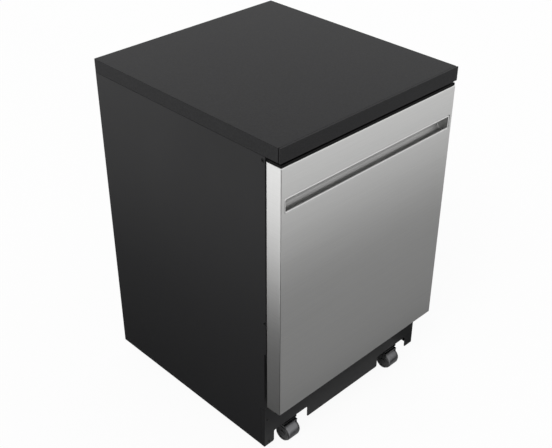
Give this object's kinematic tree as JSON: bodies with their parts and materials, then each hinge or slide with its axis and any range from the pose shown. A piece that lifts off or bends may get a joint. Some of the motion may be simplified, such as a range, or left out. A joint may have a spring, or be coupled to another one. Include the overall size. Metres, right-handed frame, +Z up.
{
  "type": "portable dishwasher on wheels",
  "caption": "Free-standing portable dishwasher: black cabinet with a dark worktop, stainless steel pull-down door with a full-width pocket handle, racks and spray arms inside, on casters.",
  "frame": {"origin": "on the floor under the middle of the cabinet", "axes": "+Z up, -Y out of the door's front, +X to the right as seen from the front"},
  "size_m": [0.61, 0.658, 0.938],
  "materials": {
    "worktop": "dark grey laminate over particle board, satin",
    "cabinet_enamel": "black powder coat, satin",
    "door_steel": "brushed stainless steel, grain across the door",
    "tub_steel": "bright stainless steel",
    "zinc_steel": "zinc plated steel",
    "black_plastic": "moulded black plastic",
    "grey_plastic": "moulded grey plastic",
    "white_plastic": "moulded white plastic",
    "rack_vinyl": "grey vinyl over steel wire",
    "tread": "grey caster tread, semi-gloss",
    "black_rubber": "black rubber"
  },
  "bodies": {
    "cabinet": {"countertop": "worktop", "countertop_front_trim": "worktop", "side_panel_left": "cabinet_enamel", "side_panel_right": "cabinet_enamel", "rear_panel": "cabinet_enamel", "hose_bay": "black_plastic", "hose_coupling": "grey_plastic", "cord_bushing": "black_rubber", "kick_plate": "cabinet_enamel", "base_frame": "cabinet_enamel", "front_rail": "cabinet_enamel", "tub": "tub_steel", "tub_gasket": "black_rubber", "sump": "grey_plastic", "heater_element": "zinc_steel", "wash_pump": "black_plastic", "drain_pump": "black_plastic", "inlet_valve": "white_plastic", "latch_strike": "zinc_steel", "hinge_bracket_left": "zinc_steel", "hinge_bracket_right": "zinc_steel", "door_spring_left": "zinc_steel", "door_spring_right": "zinc_steel", "rack_rail_left": "zinc_steel", "rack_rail_right": "zinc_steel", "caster_fork_rear_left": "black_plastic", "caster_fork_rear_right": "black_plastic"},
    "door": {"door_outer_panel": "door_steel", "handle_pocket": "door_steel", "handle_bezel": "door_steel", "door_liner": "tub_steel", "control_console": "black_plastic", "door_latch": "zinc_steel", "detergent_dispenser": "grey_plastic", "hinge_arm_left": "zinc_steel", "hinge_arm_right": "zinc_steel"},
    "power_button": {"button_power": "grey_plastic"},
    "cycle_button": {"button_cycle": "grey_plastic"},
    "options_button": {"button_options": "grey_plastic"},
    "start_button": {"button_start": "grey_plastic"},
    "soap_lid": {"detergent_lid": "white_plastic"},
    "rinse_cap": {"rinse_aid_cap": "black_plastic"},
    "lower_rack": {"lower_rack": "rack_vinyl", "cutlery_basket": "grey_plastic"},
    "rack_wheel_front_left": {"rack_wheel_front_left": "grey_plastic"},
    "rack_wheel_front_right": {"rack_wheel_front_right": "grey_plastic"},
    "rack_wheel_rear_left": {"rack_wheel_rear_left": "grey_plastic"},
    "rack_wheel_rear_right": {"rack_wheel_rear_right": "grey_plastic"},
    "upper_rack": {"upper_rack": "rack_vinyl", "upper_spray_feed": "grey_plastic"},
    "upper_arm": {"upper_spray_arm": "grey_plastic"},
    "lower_arm": {"lower_spray_arm": "grey_plastic"},
    "filter": {"fine_filter": "grey_plastic"},
    "float": {"float_dome": "grey_plastic"},
    "swivel_left": {"caster_fork_front_left": "black_plastic"},
    "swivel_right": {"caster_fork_front_right": "black_plastic"},
    "wheel_front_left": {"caster_wheel_front_left": "tread"},
    "wheel_front_right": {"caster_wheel_front_right": "tread"},
    "wheel_rear_left": {"caster_wheel_rear_left": "tread"},
    "wheel_rear_right": {"caster_wheel_rear_right": "tread"}
  },
  "joints": [
    {"name": "door_hinge", "type": "hinge", "parent": "cabinet", "child": "door", "pos_m": [0, -0.299, 0.196], "axis": [1, 0, 0], "range_deg": [0, 90], "stiffness_Nm_per_rad": 18, "springref_deg": -2.86, "deforming": ["door_spring_left", "door_spring_right"]},
    {"name": "upper_rack_slide", "type": "slide", "parent": "cabinet", "child": "upper_rack", "axis": [0, -1, 0], "range_m": [0, 0.45]},
    {"name": "lower_rack_slide", "type": "slide", "parent": "cabinet", "child": "lower_rack", "axis": [0, -1, 0], "range_m": [0, 0.185]},
    {"name": "upper_arm_spin", "type": "hinge", "parent": "upper_rack", "child": "upper_arm", "pos_m": [0, 0, 0.565], "axis": [0, 0, 1], "continuous": true},
    {"name": "lower_arm_spin", "type": "hinge", "parent": "cabinet", "child": "lower_arm", "pos_m": [0, 0, 0.262], "axis": [0, 0, 1], "continuous": true},
    {"name": "soap_lid_slide", "type": "slide", "parent": "door", "child": "soap_lid", "axis": [1, 0, 0], "range_m": [0, 0.045]},
    {"name": "rinse_cap_turn", "type": "hinge", "parent": "door", "child": "rinse_cap", "pos_m": [0.063, -0.2605, 0.55], "axis": [0, 1, 0], "range_deg": [0, 90]},
    {"name": "filter_turn", "type": "hinge", "parent": "cabinet", "child": "filter", "pos_m": [0.05, 0, 0.2353], "axis": [0, 0, 1], "range_deg": [0, 60]},
    {"name": "float_lift", "type": "slide", "parent": "cabinet", "child": "float", "axis": [0, 0, 1], "range_m": [0, 0.01]},
    {"name": "power_press", "type": "slide", "parent": "door", "child": "power_button", "axis": [0, 0, -1], "range_m": [0, 0.0015], "stiffness_N_per_m": 400},
    {"name": "cycle_press", "type": "slide", "parent": "door", "child": "cycle_button", "axis": [0, 0, -1], "range_m": [0, 0.0015], "stiffness_N_per_m": 400},
    {"name": "options_press", "type": "slide", "parent": "door", "child": "options_button", "axis": [0, 0, -1], "range_m": [0, 0.0015], "stiffness_N_per_m": 400},
    {"name": "start_press", "type": "slide", "parent": "door", "child": "start_button", "axis": [0, 0, -1], "range_m": [0, 0.0015], "stiffness_N_per_m": 400},
    {"name": "caster_swivel_left", "type": "hinge", "parent": "cabinet", "child": "swivel_left", "pos_m": [-0.2075, -0.2498, 0.06], "axis": [0, 0, 1], "continuous": true},
    {"name": "wheel_front_left_spin", "type": "hinge", "parent": "swivel_left", "child": "wheel_front_left", "pos_m": [-0.2075, -0.2658, 0.025], "axis": [1, 0, 0], "continuous": true},
    {"name": "wheel_rear_left_spin", "type": "hinge", "parent": "cabinet", "child": "wheel_rear_left", "pos_m": [-0.2075, 0.249, 0.025], "axis": [1, 0, 0], "continuous": true},
    {"name": "rack_wheel_front_left_spin", "type": "hinge", "parent": "lower_rack", "child": "rack_wheel_front_left", "pos_m": [-0.213, -0.139, 0.2483], "axis": [1, 0, 0], "continuous": true},
    {"name": "rack_wheel_rear_left_spin", "type": "hinge", "parent": "lower_rack", "child": "rack_wheel_rear_left", "pos_m": [-0.213, 0.171, 0.2483], "axis": [1, 0, 0], "continuous": true},
    {"name": "caster_swivel_right", "type": "hinge", "parent": "cabinet", "child": "swivel_right", "pos_m": [0.2075, -0.2498, 0.06], "axis": [0, 0, 1], "continuous": true},
    {"name": "wheel_front_right_spin", "type": "hinge", "parent": "swivel_right", "child": "wheel_front_right", "pos_m": [0.2075, -0.2658, 0.025], "axis": [1, 0, 0], "continuous": true},
    {"name": "wheel_rear_right_spin", "type": "hinge", "parent": "cabinet", "child": "wheel_rear_right", "pos_m": [0.2075, 0.249, 0.025], "axis": [1, 0, 0], "continuous": true},
    {"name": "rack_wheel_front_right_spin", "type": "hinge", "parent": "lower_rack", "child": "rack_wheel_front_right", "pos_m": [0.213, -0.139, 0.2483], "axis": [1, 0, 0], "continuous": true},
    {"name": "rack_wheel_rear_right_spin", "type": "hinge", "parent": "lower_rack", "child": "rack_wheel_rear_right", "pos_m": [0.213, 0.171, 0.2483], "axis": [1, 0, 0], "continuous": true}
  ],
  "couplings": [
    {"joint": "upper_rack_slide", "follows": "door_hinge", "m_per_rad": 0.28},
    {"joint": "lower_rack_slide", "follows": "door_hinge", "m_per_rad": 0.115}
  ]
}
